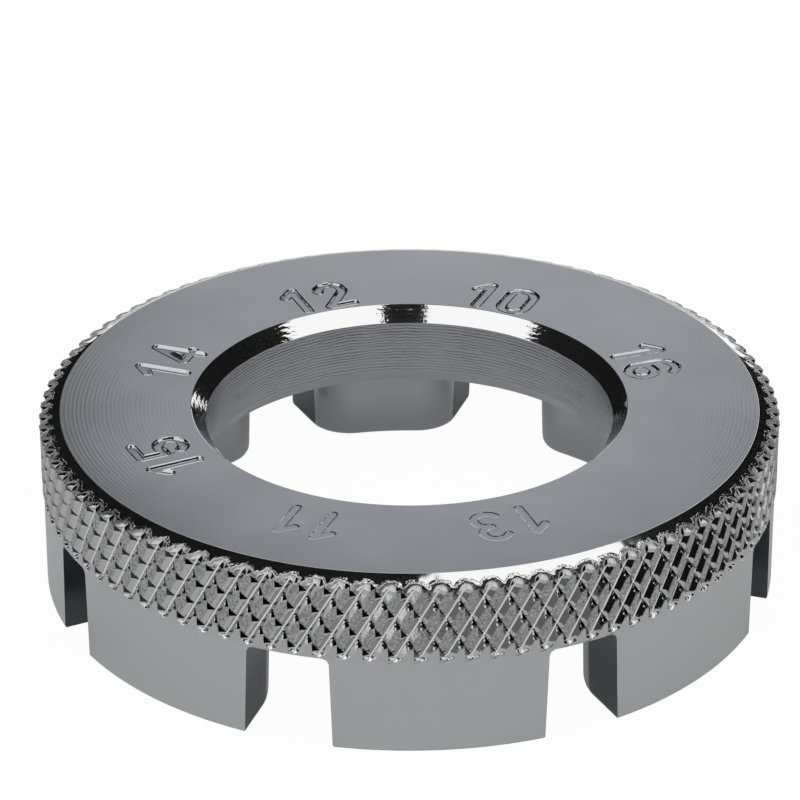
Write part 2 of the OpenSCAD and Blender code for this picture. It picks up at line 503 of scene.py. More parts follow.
def strokes(digit):
    """The strokes of a digit round its middle. x and y are half its width and height between strokes."""
    x = (DIGIT_W - DIGIT_LINE) / 2
    y = (DIGIT_H - DIGIT_LINE) / 2
    if digit == "0":
        return [bend((0, y - x), x, 0, 180) + bend((0, x - y), x, 180, 360) + [Vector((x, y - x))]]
    if digit == "1":
        return [[Vector((-x, y - x)), Vector((0, y))], [Vector((0, y)), Vector((0, -y))]]
    if digit == "2":
        return [bend((0, y - x), x, 180, -30) + [Vector((-x, -y))], [Vector((-x, -y)), Vector((x, -y))]]
    if digit == "3":
        return [bend((0, y / 2), y / 2, 150, -90), bend((0, -y / 2), y / 2, 90, -150)]
    if digit == "4":
        points = [Vector((x / 2, -y)), Vector((x / 2, y)), Vector((-x, -y / 2)), Vector((x, -y / 2))]
        return [[a, b] for a, b in zip(points, points[1:])]
    if digit == "5":
        knee = x - y + x * math.sin(math.radians(60))
        return [[Vector((x, y)), Vector((-x, y))], [Vector((-x, y)), Vector((-x, knee))],
                [Vector((-x, knee))] + bend((0, x - y), x, 120, -150)]
    return [bend((0, y - x), x, 30, 180) + bend((0, x - y), x, 180, 540)]


print("strokes in a 5:", len(strokes("5")))

# %% [markdown]
# The numbers don't line up with the slots: each sits a little turned from its slot and a little in or
# out. They are also uneven in depth. Those for 14 and 15 are the deepest, and those for 11 and 13 hardly
# show. So each number has its own row of values, and a loop does the rest.

# %% Place the numbers
DIGIT_GAP = 0.15 * MM
DIGIT_R = 15.8 * MM

# number: turn from its slot in degrees, shift outwards in heights of a digit, share of the depth
NUMBERS = {
    "16": (-6.7, -0.15, 0.8), "10": (-4.2, -0.22, 1.1), "12": (-4.2, -0.2, 1.3), "14": (-1.2, -0.1, 1.5),
    "15": (-0.2, 0, 1.5), "11": (-3.2, 0.1, 0.22), "13": (-6, 0.1, 0.22),
}
placed = []
for index, (number, _) in enumerate(SLOTS):
    if not number:
        continue
    turned, outwards, deep = NUMBERS[number]
    angle = index * SLOT_STEP + math.radians(turned)
    turn_up = Matrix.Rotation(angle - math.pi / 2, 2)
    out = DIGIT_R + outwards * DIGIT_H
    for k, digit in enumerate(number):
        aside = (k - (len(number) - 1) / 2) * (DIGIT_W + DIGIT_GAP)
        for stroke in strokes(digit):
            placed.append(([turn_up @ (p + Vector((aside, out))) for p in stroke], deep))
print("strokes:", len(placed))

# %% [markdown]
# A punch pushes a low burr up round the stroke, and its walls lean. Outlines at a few distances from the
# stroke follow that: burr, edge, wall, floor. The helper runs along one side of a stroke, round its end,
# and back along the other side.

# %% Outline of a stroke
END_STEPS = 6
LEAST_COSINE = 0.5
# width across a stroke, with the share of the depth reached there
STROKE_STEPS = [(0.74 * MM, 0.0), (0.64 * MM, -0.2), (0.56 * MM, 0.0), (0.52 * MM, 0.15), (0.42 * MM, 0.85),
                (0.38 * MM, 1.0)]


def outline(stroke, half):
    """The outline of a stroke of this half width, with round ends."""
    sides = []
    for points in (stroke, stroke[::-1]):
        for i, p in enumerate(points):
            before = points[i - 1] if i else None
            after = points[i + 1] if i + 1 < len(points) else None
            run = ((after or p) - (before or p)).normalized()
            stretch = 1.0
            if before is not None and after is not None:
                run = ((p - before).normalized() + (after - p).normalized()).normalized()
                stretch = 1 / max(LEAST_COSINE, run.dot((after - p).normalized()))
            sides.append(p + Vector((run.y, -run.x)) * half * stretch)
        end = points[-1]
        run = (end - points[-2]).normalized()
        for i in range(1, END_STEPS):
            a = -math.pi / 2 + math.pi * i / END_STEPS
            sides.append(end + (run * math.cos(a) + Vector((-run.y, run.x)) * math.sin(a)) * half)
    return sides


print("widths of the outlines in mm:", [round(width / MM, 2) for width, _ in STROKE_STEPS])

# %% [markdown]
# The outlines are laid into the flat face, between the rim's last row and the hole's first. Blender's
# Delaunay triangulation cuts the whole face into triangles along all of them, and keeps their points. It
# is given millimetres here, because points closer than its tolerance are taken as one.

# %% Cut the marked face along the strokes
SAME_POINT_MM = 1e-5

known = rim_top_row + bore_top_row
flat = [Vector(skin.corners[i][:2]) / MM for i in known]
edges = []
for first in (0, COLUMNS):
    edges += [(first + j, first + (j + 1) % COLUMNS) for j in range(COLUMNS)]
for stroke, _ in placed:
    for width, _ in STROKE_STEPS:
        loop = outline(stroke, width / 2)
        first = len(flat)
        flat += [p / MM for p in loop]
        edges += [(first + i, first + (i + 1) % len(loop)) for i in range(len(loop))]
points, _, triangles, sources, _, _ = delaunay_2d_cdt(flat, edges, [], 0, SAME_POINT_MM)
print("triangles over the face and the hole:", len(triangles))

# %% [markdown]
# Each point of the face goes down by a depth that depends on its distance to the nearest stroke, times
# the number's own share of the depth. The triangles whose corners all lie on the hole's edge would close
# the hole, so they are left out. Steep triangles get the finish of a punched wall, whose light colour
# paints a glint on them.

# %% Press the numbers in
DIGIT_DEPTH = 0.1 * MM
STEEP_SHARE = 0.12


def away_from(p, a, b):
    """Distance of a point from the line between two others."""
    run = b - a
    share = min(max((p - a).dot(run) / max(run.length_squared, 1e-18), 0.0), 1.0)
    return (p - a - run * share).length


def sunk(p):
    """How deep a point of the marked face lies."""
    away, deep = min((away_from(p, a, b), deep) for s, deep in placed for a, b in zip(s, s[1:]))
    for (outer, share_out), (inner, share_in) in zip(STROKE_STEPS, STROKE_STEPS[1:]):
        if away > inner / 2:
            mix = min(max((outer / 2 - away) / (outer / 2 - inner / 2), 0.0), 1.0)
            return DIGIT_DEPTH * deep * (share_out + (share_in - share_out) * mix)
    return DIGIT_DEPTH * deep


face_ids = []
on_hole = []
for p, source in zip(points, sources):
    old = [s for s in source if s < len(known)]
    on_hole.append(bool(old) and old[0] >= COLUMNS)
    if old:
        face_ids.append(known[old[0]])
    else:
        face_ids.append(skin.row([(p.x * MM, p.y * MM, TOP_Z - sunk(p * MM))])[0])
for triangle in triangles:
    if not all(on_hole[i] for i in triangle):
        ids = [face_ids[i] for i in triangle]
        heights = [skin.corners[i][2] for i in ids]
        steep = max(heights) - min(heights) > DIGIT_DEPTH * STEEP_SHARE
        skin.face(ids, "stamped_mark" if steep else "turned_face")
print("faces before the knurl:", len(skin.faces))

# %% [markdown]
# ## The skin as a Blender object
#
# The rows become one mesh with a material slot for each finish. A number on each corner, `knurl_band`,
# tells the knurl where it may work. A closed mesh has exactly two faces at each edge, so counting the
# others proves that the skin has no hole.

# %% Make the mesh
materials = {name: bpy.data.materials.new(name) for name in FINISHES}
body = bpy.data.meshes.new("wrench_ring_skin")
for material in materials.values():
    body.materials.append(material)
body.from_pydata(skin.corners, [], skin.faces)
body.polygons.foreach_set("material_index", skin.finishes)
body.attributes.new("knurl_band", "FLOAT", "POINT").data.foreach_set("value", skin.in_band)
mesh_edit = bmesh.new()
mesh_edit.from_mesh(body)
bmesh.ops.recalc_face_normals(mesh_edit, faces=mesh_edit.faces)
open_edges = sum(1 for edge in mesh_edit.edges if len(edge.link_faces) != 2)
print("open edges:", open_edges, "volume in mm3:", round(mesh_edit.calc_volume(signed=True) / MM ** 3, 1))
mesh_edit.to_mesh(body)
mesh_edit.free()
wrench = bpy.data.objects.new("wrench_ring_skin", body)
bpy.context.scene.collection.objects.link(wrench)

# %% [markdown]
# ## Knurl with Geometry Nodes
#
# Each groove is a rule in the angle and the height of a point, and it repeats all round the rim. That
# suits Geometry Nodes: one tree moves every point by the same sum, and its inputs hold the sizes. Copies
# of a cutter and a boolean would do it too, but slowly, and they would spoil the even mesh.
#
# `Graph` is a short way to add nodes. Any input can be given a socket, a number, or the name of one of the
# tree's own inputs.

# %% Helper for node trees
class Graph:
    """Adds nodes to a tree."""

    def __init__(self, tree, own_inputs=False):
        self.tree = tree
        self.inputs = tree.nodes.new("NodeGroupInput") if own_inputs else None

    def give(self, value, socket):
        if isinstance(value, str):
            value = self.inputs.outputs[value]
        if isinstance(value, bpy.types.NodeSocket):
            self.tree.links.new(value, socket)
        else:
            socket.default_value = value

    def node(self, kind, settings=None, **inputs):
        made = self.tree.nodes.new(kind)
        for name, value in (settings or {}).items():
            setattr(made, name, value)
        for name, value in inputs.items():
            self.give(value, made.inputs[name.replace("_", " ")])
        return made

    def math(self, operation, *values):
        made = self.tree.nodes.new("ShaderNodeMath")
        made.operation = operation
        for value, socket in zip(values, made.inputs):
            self.give(value, socket)
        return made.outputs[0]

    def mapped(self, value, low, high, start=0.0, end=1.0, settings=None):
        """A number that goes from start to end while the value goes from low to high."""
        return self.node("ShaderNodeMapRange", settings, Value=value, From_Min=low, From_Max=high,
                         To_Min=start, To_Max=end).outputs[0]

    def from_nearest(self, share, pitch, offset=0.5):
        """Distance to the nearest of many lines, one pitch apart. It is negative left of the line."""
        phase = self.math("FRACT", self.math("ADD", share, offset))
        return self.math("MULTIPLY", self.math("SUBTRACT", phase, 0.5), pitch)


def new_tree(name, kind, inputs, outputs):
    """A node tree with its named inputs and outputs, and the Graph that fills it."""
    tree = bpy.data.node_groups.new(name, kind)
    made = {}
    for label, (socket_type, value) in inputs.items():
        made[label] = tree.interface.new_socket(label, in_out="INPUT", socket_type=socket_type)
        if value is not None:
            made[label].default_value = value
    for label, socket_type in outputs.items():
        tree.interface.new_socket(label, in_out="OUTPUT", socket_type=socket_type)
    return tree, Graph(tree, own_inputs=True), made


FLOAT = "NodeSocketFloat"
print("socket type of the sizes:", FLOAT)

# %% [markdown]
# The sizes of the pattern are the tree's inputs. A groove has straight walls. The wall of a shallow groove
# is wide on its left and narrow on its right. A notch is the place beside a deep groove where the shallow
# one goes down to the full depth, and it fades out between its two distances, `Full` and `End`.
#
# The arches are the upper ends of the diamonds, where the wheel ran onto the bevel and raised a thin lip.
# The burrs are tiny grains of metal that were pushed out of the lower ends of the grooves.

# %% Inputs of the knurl
knurl_sizes = {
    "Lines": KNURL_LINES,
    "Slope": math.tan(KNURL_SLANT),
    "Depth": KNURL_DEPTH,
    "Light Depth": KNURL_LIGHT_DEPTH,
    "Half Width": 0.48 * MM,
    "Light Wall Left": 0.4 * MM,
    "Light Wall Right": 0.14 * MM,
    "Notch Left Full": -0.46 * MM,
    "Notch Left End": -0.82 * MM,
    "Notch Right Full": 0.42 * MM,
    "Notch Right End": 0.62 * MM,
    "Arch Base": TOP_Z - 0.34 * MM,
    "Arch Height": 0.15 * MM,
    "Arch Half Width": 0.66 * MM,
    "Arch Raise": 0.06 * MM,
    "Tip Burr": 0.06 * MM,
    "Tip Burr Half Width": 0.14 * MM,
    "Tip Burr Level": KNURL_CROSS_Z - 0.13 * MM,
    "Crossing Height": KNURL_CROSS_Z,
    "Phase": KNURL_TURN,
    "Run Out": KNURL_RUN_OUT,
    "Skirt Radius": SKIRT_R,
    "Crest Radius": CREST_R,
    "Bevel Radius": top_edge_r,
    "Bevel Height": TOP_Z,
    "Bevel Slope": RIM_BEVEL_SLOPE,
}
knurl, g, knurl_inputs = new_tree(
    "Knurl", "GeometryNodeTree",
    {"Geometry": ("NodeSocketGeometry", None),
     **{name: (FLOAT, value) for name, value in knurl_sizes.items()},
     "Material": ("NodeSocketMaterial", None)},
    {"Geometry": "NodeSocketGeometry"})
print("inputs of the knurl:", len(knurl_inputs))

# %% [markdown]
# First the tree finds where a point is: how far round, how far above the lowest crossings, and how far
# from the nearest deep line and the nearest shallow line. The two sets are the same sum with the lean
# taken off or added.

# %% Place of a point on the rim
x, y, z = g.node("ShaderNodeSeparateXYZ", Vector=g.node("GeometryNodeInputPosition").outputs[0]).outputs
reach = g.math("SQRT", g.math("ADD", g.math("MULTIPLY", x, x), g.math("MULTIPLY", y, y)))
around = g.math("SUBTRACT", g.math("ARCTAN2", y, x), "Phase")
rise = g.math("SUBTRACT", z, "Crossing Height")
pitch = g.math("DIVIDE", g.math("MULTIPLY", "Crest Radius", 2 * math.pi), "Lines")
line_share = g.math("DIVIDE", g.math("MULTIPLY", around, "Lines"), 2 * math.pi)
lean_share = g.math("DIVIDE", g.math("MULTIPLY", rise, "Slope"), pitch)
from_main = g.from_nearest(g.math("SUBTRACT", line_share, lean_share), pitch)
from_light = g.from_nearest(g.math("ADD", line_share, lean_share), pitch)
print("nodes so far:", len(knurl.nodes))

# %% [markdown]
# The distances give the depths of the two grooves, and the deeper one wins. Below the lowest crossings the
# shallower one wins and fades out, which ends each pair of grooves in a V.

# %% Depth of the grooves
LEVEL_SLACK = 1e-6

main_share = g.math("SUBTRACT", 1.0, g.math("DIVIDE", g.math("ABSOLUTE", from_main), "Half Width"))
main_cut = g.math("MULTIPLY", g.math("MAXIMUM", main_share, 0.0), "Depth")
notches = [g.mapped(from_main, f"Notch {side} Full", f"Notch {side} End", "Depth", "Light Depth")
           for side in ("Left", "Right")]
up_wall = g.math("MAXIMUM", g.math("DIVIDE", from_light, "Light Wall Right"),
                 g.math("MULTIPLY", g.math("DIVIDE", from_light, "Light Wall Left"), -1.0))
light_cut = g.math("SUBTRACT", g.math("MINIMUM", *notches), g.math("MULTIPLY", up_wall, "Depth"))
light_cut = g.math("MAXIMUM", light_cut, 0.0)
above = g.math("GREATER_THAN", rise, -LEVEL_SLACK)
fading = g.mapped(rise, g.math("MULTIPLY", "Run Out", -1.0), 0.0)
cut = g.math("ADD", g.math("MULTIPLY", above, g.math("MAXIMUM", main_cut, light_cut)),
             g.math("MULTIPLY", g.math("SUBTRACT", fading, above), g.math("MINIMUM", main_cut, light_cut)))
print("nodes so far:", len(knurl.nodes))

# %% [markdown]
# An arch is a parabola over each diamond. Its field is 0 on the curve and grows inwards. With it the
# grooves close before they reach the bevel, and the lip inside the curve is raised a little.

# %% Arches on the bevel
ARCH_CAP = 3.0
ARCH_SHIFT = 0.02
ARCH_CLOSES = (0.7, 2.7)
ARCH_LIP = 0.4
ARCH_SINKS = (1.0, 2.5)

arch_rise = g.math("SUBTRACT", "Arch Base", "Crossing Height")
arch_lean = g.math("DIVIDE", g.math("MULTIPLY", arch_rise, "Slope"), pitch)
arch_aside = g.from_nearest(g.math("SUBTRACT", line_share, arch_lean), pitch, 0.5 + ARCH_SHIFT)
arch_across = g.math("DIVIDE", arch_aside, "Arch Half Width")
arch_up = g.math("DIVIDE", g.math("SUBTRACT", "Arch Base", z), "Arch Height")
arch = g.math("SUBTRACT", g.math("ADD", arch_up, 1.0), g.math("MULTIPLY", arch_across, arch_across))
arch = g.math("MINIMUM", arch, ARCH_CAP)
cut = g.math("MULTIPLY", cut, g.mapped(arch, *ARCH_CLOSES))
lip = g.math("MULTIPLY", g.mapped(arch, 0.0, ARCH_LIP), g.mapped(arch_up, *ARCH_SINKS, 1.0, 0.0))
lip = g.math("MULTIPLY", lip, "Arch Raise")
print("nodes so far:", len(knurl.nodes))

# %% [markdown]
# A burr is a small dome under each V. `outside` says how far a point is from the V's own lines, so that
# the plain band below the knurl can have the skirt's finish.

# %% Burrs under the grooves
column_away = g.math("ABSOLUTE", g.from_nearest(line_share, pitch))
tip_across = g.math("DIVIDE", column_away, "Tip Burr Half Width")
tip_along = g.math("DIVIDE", g.math("SUBTRACT", z, "Tip Burr Level"), "Tip Burr Half Width")
tip_left = g.math("SUBTRACT", 1.0, g.math("ADD", g.math("MULTIPLY", tip_across, tip_across),
                                          g.math("MULTIPLY", tip_along, tip_along)))
tip = g.math("MULTIPLY", g.math("SQRT", g.math("MAXIMUM", tip_left, 0.0)), "Tip Burr")
outside = g.math("SUBTRACT", column_away, g.math("MULTIPLY", rise, "Slope"))
print("nodes so far:", len(knurl.nodes))

# %% [markdown]
# A point goes to its new distance from the axis: the crests' radius, or the bevel where that is lower,
# with lip and burr added and the groove taken off. The fields are stored on the mesh, because the finish
# needs them too. A face takes the knurl's material only if all four of its corners are in the band: with
# three of four the mean of `knurl_band` is 0.75. The tree ends with Realize Instances and Set Material.

# %% Move the points and keep the fields
SWELL_FROM = -0.5 * MM
SWELL_TO = 0.3 * MM
SMOOTH_STEP = {"interpolation_type": "SMOOTHSTEP"}
HALF_IN_BAND = 0.5
THREE_CORNERS_IN_BAND = 0.75

swell = g.mapped(rise, SWELL_FROM, SWELL_TO, settings=SMOOTH_STEP)
crest = g.math("MULTIPLY_ADD", g.math("SUBTRACT", "Crest Radius", "Skirt Radius"), swell, "Skirt Radius")
on_bevel = g.math("ADD", g.math("DIVIDE", g.math("SUBTRACT", "Bevel Height", z), "Bevel Slope"),
                  "Bevel Radius")
plain_r = g.math("ADD", g.math("MINIMUM", crest, on_bevel), g.math("ADD", lip, tip))
scale = g.math("DIVIDE", g.math("SUBTRACT", plain_r, cut), reach)
moved = g.node("ShaderNodeCombineXYZ", X=g.math("MULTIPLY", x, scale), Y=g.math("MULTIPLY", y, scale), Z=z)
band = g.node("GeometryNodeInputNamedAttribute", {"data_type": "FLOAT"}, Name="")
band.inputs["Name"].default_value = "knurl_band"
chosen = g.math("GREATER_THAN", band.outputs["Attribute"], HALF_IN_BAND)
stored = g.node("GeometryNodeSetPosition", Geometry="Geometry", Selection=chosen,
                Position=moved.outputs[0]).outputs[0]
fields = {"knurl_cut": cut, "knurl_arch": arch, "knurl_tip": tip, "knurl_outside": outside}
for name, value in fields.items():
    store = g.node("GeometryNodeStoreNamedAttribute", {"data_type": "FLOAT"}, Geometry=stored, Value=value)
    store.inputs["Name"].default_value = name
    stored = store.outputs[0]
whole = g.node("GeometryNodeRealizeInstances", Geometry=stored)
all_in_band = g.math("GREATER_THAN", band.outputs["Attribute"], THREE_CORNERS_IN_BAND)
finished = g.node("GeometryNodeSetMaterial", Geometry=whole.outputs[0], Selection=all_in_band,
                  Material="Material")
result = knurl.nodes.new("NodeGroupOutput")
knurl.links.new(finished.outputs[0], result.inputs[0])
print("nodes in the knurl:", len(knurl.nodes))

# %% [markdown]
# The tree works as a modifier. Its inputs are set by their identifiers, and the result is kept as a plain
# mesh, so that the export finds real geometry.

# %% Press the knurl into the mesh
modifier = wrench.modifiers.new("Knurl", "NODES")
modifier.node_group = knurl
for name, value in knurl_sizes.items():
    modifier[knurl_inputs[name].identifier] = float(value)
modifier[knurl_inputs["Material"].identifier] = materials["knurled_rim"]
graph = bpy.context.evaluated_depsgraph_get()
pressed_mesh = bpy.data.meshes.new_from_object(wrench.evaluated_get(graph), depsgraph=graph)
wrench.modifiers.remove(modifier)
wrench.data = pressed_mesh
print("triangles:", sum(len(face.vertices) - 2 for face in pressed_mesh.polygons))

# %% [markdown]
# Smooth shading rounds what is round. An edge stays sharp where its faces meet at more than a limit. The
# turned and polished surfaces get a small limit, because their edges are crisp even where they are
# nearly flat.

# %% Smooth surfaces and sharp edges
CRISP_ANGLE = math.radians(8)
SMOOTH_ANGLE = math.radians(28)

pressed_mesh.shade_smooth()
crisp = {FINISHES.index(name) for name in ("turned_face", "polished_bevel", "turned_bore", "stamped_mark")}
mesh_edit = bmesh.new()
mesh_edit.from_mesh(pressed_mesh)
sharp = 0
for edge in mesh_edit.edges:
    limit = CRISP_ANGLE if any(face.material_index in crisp for face in edge.link_faces) else SMOOTH_ANGLE
    edge.smooth = edge.calc_face_angle(0.0) < limit
    sharp += not edge.smooth
mesh_edit.to_mesh(pressed_mesh)
mesh_edit.free()
print("sharp edges:", sharp)

# %% [markdown]
# ## Finishes
#
# The whole ring is one plated steel, so every finish is a Principled BSDF with Metallic at 1. What differs
# is how each surface was cut before plating. A cut surface scatters light, which makes it darker and
# softer, and a polished one mirrors the room. So each finish has its own colour and roughness, and where
# the photograph shows a pattern, its own fine relief. A value that is the same all over goes straight on
# the shader's socket, and one that varies comes from nodes.

# %% Helpers for finishes
def start_finish(name, **sockets):
    """A metal finish, with values for its shader's own sockets. Gives its graph and its shader."""
    tree = materials[name].node_tree
    tree.nodes.clear()
    graph = Graph(tree)
    surface = graph.node("ShaderNodeBsdfPrincipled", Metallic=1.0, **sockets)
    output = tree.nodes.new("ShaderNodeOutputMaterial")
    tree.links.new(surface.outputs[0], output.inputs[0])
    return graph, surface


def object_parts(graph):
    """A point's object coordinates, whole and as three parts."""
    coords = graph.node("ShaderNodeTexCoord").outputs["Object"]
    return coords, graph.node("ShaderNodeSeparateXYZ", Vector=coords).outputs


def from_axis(graph, parts):
    """A point's distance from the ring's axis."""
    squares = [graph.math("MULTIPLY", part, part) for part in parts[:2]]
    return graph.math("SQRT", graph.math("ADD", *squares))


def bump(graph, surface, height, distance):
    """Fine relief: the height is a share of the distance."""
    made = graph.node("ShaderNodeBump", Height=height, Distance=distance, Strength=1.0)
    graph.give(made.outputs[0], surface.inputs["Normal"])


for material in materials.values():
    material.use_nodes = True
print("finishes to fill:", len(materials))

# %% [markdown]
# ### Turning rings
#
# A lathe tool leaves a fine thread of rings. Three finishes show them, so they are a shader node group: a
# sine across the surface with a slow wander, and a slower noise that makes some rings deeper than others.
# The group takes the distance across the rings and their spacing, and gives a height for a Bump node.

# %% Turning rings
RING_WAVE = 0.35
RING_NOISE_STEP = 1.7
DRIFT_SCALE = 900.0

rings, g, _ = new_tree(
    "Turning rings", "ShaderNodeTree",
    {"Across": (FLOAT, 0.0), "Feed": (FLOAT, 0.2 * MM), "Wander": (FLOAT, 0.3)}, {"Height": FLOAT})
where = g.node("ShaderNodeTexCoord").outputs["Object"]
drift = g.node("ShaderNodeTexNoise", Vector=where, Scale=DRIFT_SCALE, Detail=3.0)
count = g.math("DIVIDE", "Across", "Feed")
wander = g.math("MULTIPLY", g.math("SUBTRACT", drift.outputs[0], 0.5), "Wander")
wave = g.math("SINE", g.math("MULTIPLY", g.math("ADD", count, wander), 2 * math.pi))
ring_noise = g.node("ShaderNodeTexNoise", {"noise_dimensions": "1D"}, Scale=1.0, Detail=2.0,
                    W=g.math("MULTIPLY", count, RING_NOISE_STEP))
out = rings.nodes.new("NodeGroupOutput")
g.give(g.math("ADD", g.math("MULTIPLY", wave, RING_WAVE), ring_noise.outputs[0]), out.inputs["Height"])
print("nodes in the turning rings:", len(rings.nodes))

# %% [markdown]
# ### Uneven polish
#
# No plated surface is evenly bright: it is a little duller in patches. One roughness for the whole
# surface would look like plastic. A noise between a lowest roughness and a little more gives the patches,
# and five of the finishes use it with their own values.

# %% Uneven polish
polish_group, g, _ = new_tree(
    "Uneven polish", "ShaderNodeTree",
    {"Scale": (FLOAT, 300.0), "Detail": (FLOAT, 5.0), "Lowest": (FLOAT, 0.2), "Spread": (FLOAT, 0.12)},
    {"Roughness": FLOAT})
where = g.node("ShaderNodeTexCoord").outputs["Object"]
patches = g.node("ShaderNodeTexNoise", Vector=where, Scale="Scale", Detail="Detail")
out = polish_group.nodes.new("NodeGroupOutput")
g.give(g.math("MULTIPLY_ADD", patches.outputs[0], "Spread", "Lowest"), out.inputs["Roughness"])


def polish_unevenly(graph, surface, **values):
    made = graph.node("ShaderNodeGroup", {"node_tree": polish_group}, **values)
    graph.give(made.outputs[0], surface.inputs["Roughness"])


print("nodes in the uneven polish:", len(polish_group.nodes))

# %% [markdown]
# ### Turned face
#
# The marked face is satin, with shallow rings round the hole. A deep bump would make it look like a
# record, so the Bump node gets less than three thousandths of a millimetre.

# %% Turned face
g, surface = start_finish("turned_face", Base_Color=(0.298, 0.315, 0.338, 1.0))
_, parts = object_parts(g)
lines = g.node("ShaderNodeGroup", {"node_tree": rings}, Across=from_axis(g, parts), Feed=0.25 * MM)
bump(g, surface, lines.outputs[0], distance=0.0026 * MM)
polish_unevenly(g, surface, Scale=220.0, Detail=4.0, Lowest=0.26, Spread=0.12)
print("turned face:", len(g.tree.nodes), "nodes")

# %% [markdown]
# ### Polished bevels
#
# The bevels are the brightest mirrors on the ring, white and black by turns. The one at the hole still
# holds fine lines and specks, so the bump works only near the hole.

# %% Polished bevels
HOLE_BEVEL_R = 15 * MM

g, surface = start_finish("polished_bevel", Base_Color=(0.93, 0.93, 0.93, 1.0))
coords, parts = object_parts(g)
radius = from_axis(g, parts)
polish_unevenly(g, surface, Scale=500.0, Detail=3.0, Lowest=0.03, Spread=0.08)
lines = g.node("ShaderNodeGroup", {"node_tree": rings}, Across=radius, Feed=0.23 * MM, Wander=2.0)
speckle = g.node("ShaderNodeTexNoise", Vector=coords, Scale=4000.0, Detail=2.0)
relief = g.math("MULTIPLY", g.math("ADD", lines.outputs[0], speckle.outputs[0]),
                g.math("LESS_THAN", radius, HOLE_BEVEL_R))
bump(g, surface, relief, distance=0.004 * MM)
print("polished bevels:", len(g.tree.nodes), "nodes")

# %% [markdown]
# ### Turned hole
#
# The rings in the hole are stronger than those on the face. They run round its wall, so here the group
# measures them along the height.

# %% Turned hole
g, surface = start_finish("turned_bore", Base_Color=(0.42, 0.435, 0.46, 1.0), Roughness=0.25)
_, parts = object_parts(g)
lines = g.node("ShaderNodeGroup", {"node_tree": rings}, Across=parts[2], Feed=0.2 * MM, Wander=1.5)
bump(g, surface, lines.outputs[0], distance=0.011 * MM)
print("turned hole:", len(g.tree.nodes), "nodes")

# %% [markdown]
# ### Skirt, slot walls and insides
#
# The skirt is smooth satin. The slot walls get a very dark colour, which paints the shade inside the
# slots. The insides of the tabs and the web's underside lie between. None of them shows a pattern, so the
# three share one recipe with different values.

# %% Skirt, slot walls and insides
# finish: colour, lowest roughness
PLAIN_FINISHES = {
    "plated_skirt": ((0.56, 0.565, 0.572, 1.0), 0.26),
    # the slot walls' very dark colour is painted shade inside the slots
    "slot_wall": ((0.095, 0.1, 0.108, 1.0), 0.24),
    "inner_wall": ((0.42, 0.43, 0.455, 1.0), 0.2),
}
for name, (base, lowest) in PLAIN_FINISHES.items():
    g, surface = start_finish(name, Base_Color=base)
    polish_unevenly(g, surface, Scale=300.0, Detail=5.0, Lowest=lowest, Spread=0.12)
print("plain finishes:", list(PLAIN_FINISHES))

# %% [markdown]
# ### Stamped marks
#
# The walls and the burrs of the numbers are shinier than the satin face, and their light colour paints a
# glint on them. A fine noise in their bump breaks the reflections up, as the rough edge of a stamp does.

# %% Stamped marks
# the light colour is a painted glint on the punched walls
g, surface = start_finish("stamped_mark", Base_Color=(0.62, 0.63, 0.65, 1.0), Roughness=0.14)
coords = g.node("ShaderNodeTexCoord").outputs["Object"]
torn = g.node("ShaderNodeTexNoise", Vector=coords, Scale=2600.0, Detail=3.0)
bump(g, surface, torn.outputs[0], distance=0.03 * MM)
print("stamped marks:", len(g.tree.nodes), "nodes")

# %% [markdown]
# ### Places on the knurl
#
# The mesh has about twelve columns for a groove. That is enough for the shape, but the edge of a colour
# would look ragged on it. So the finish works out the distances to the lines again for every point of the
# picture, with the same sums as the Geometry Nodes tree.

# %% Places on the knurl
places, g, _ = new_tree(
    "Knurl places", "ShaderNodeTree",
    {"Lines": (FLOAT, KNURL_LINES), "Slope": (FLOAT, math.tan(KNURL_SLANT)), "Pitch": (FLOAT, KNURL_PITCH),
     "Crossing Height": (FLOAT, KNURL_CROSS_Z), "Phase": (FLOAT, KNURL_TURN)},
    {"From Main Line": FLOAT, "From Light Line": FLOAT})
_, parts = object_parts(g)
around = g.math("SUBTRACT", g.math("ARCTAN2", parts[1], parts[0]), "Phase")
line_share = g.math("DIVIDE", g.math("MULTIPLY", around, "Lines"), 2 * math.pi)
rise = g.math("SUBTRACT", parts[2], "Crossing Height")
lean_share = g.math("DIVIDE", g.math("MULTIPLY", rise, "Slope"), "Pitch")
out = places.nodes.new("NodeGroupOutput")
for lean, label in (("SUBTRACT", "From Main Line"), ("ADD", "From Light Line")):
    g.give(g.from_nearest(g.math(lean, line_share, lean_share), "Pitch"), out.inputs[label])
print("nodes in the places:", len(places.nodes))

# %% [markdown]
# ### Knurled rim
#
# The flats of the diamonds are dull and grainy. What the wheel pressed is smooth: the walls, the bright
# line at the bottom of each deep groove, the notches, the lips and the burrs. There are hundreds of
# diamonds, so a rule places each of these as a mask, a number from 0 to 1.
#
# The first masks come from the fields on the mesh. A noise is added to the arches' field, so that their
# edge looks torn.

# %% Masks from the fields
TEAR = 2.0

g, surface = start_finish("knurled_rim")
coords, parts = object_parts(g)


def field(name, low, high):
    """A field of the knurl as a mask: 0 at the low number and 1 at the high one."""
    stored_field = g.node("ShaderNodeAttribute", {"attribute_name": name})
    return g.mapped(stored_field.outputs["Fac"], low, high)


pressed_in = field("knurl_cut", 0.015 * MM, 0.09 * MM)
at_tip = field("knurl_tip", 0.005 * MM, 0.02 * MM)
plain = field("knurl_outside", 0.1 * MM, 0.2 * MM)
torn = g.node("ShaderNodeTexNoise", Vector=coords, Scale=2800.0, Detail=2.0)
arch_field = g.node("ShaderNodeAttribute", {"attribute_name": "knurl_arch"}).outputs["Fac"]
torn_arch = g.math("ADD", arch_field, g.math("MULTIPLY_ADD", torn.outputs[0], TEAR, -TEAR / 2))
in_arch = g.mapped(torn_arch, -0.08, 0.08)
arch_edge = g.math("MULTIPLY", in_arch, g.mapped(torn_arch, 0.5, 0.3))
bevelled = g.math("SUBTRACT", 1.0, in_arch)
raised = g.math("MAXIMUM", g.math("MAXIMUM", arch_edge, at_tip), bevelled)
print("fields on the mesh:", list(fields))

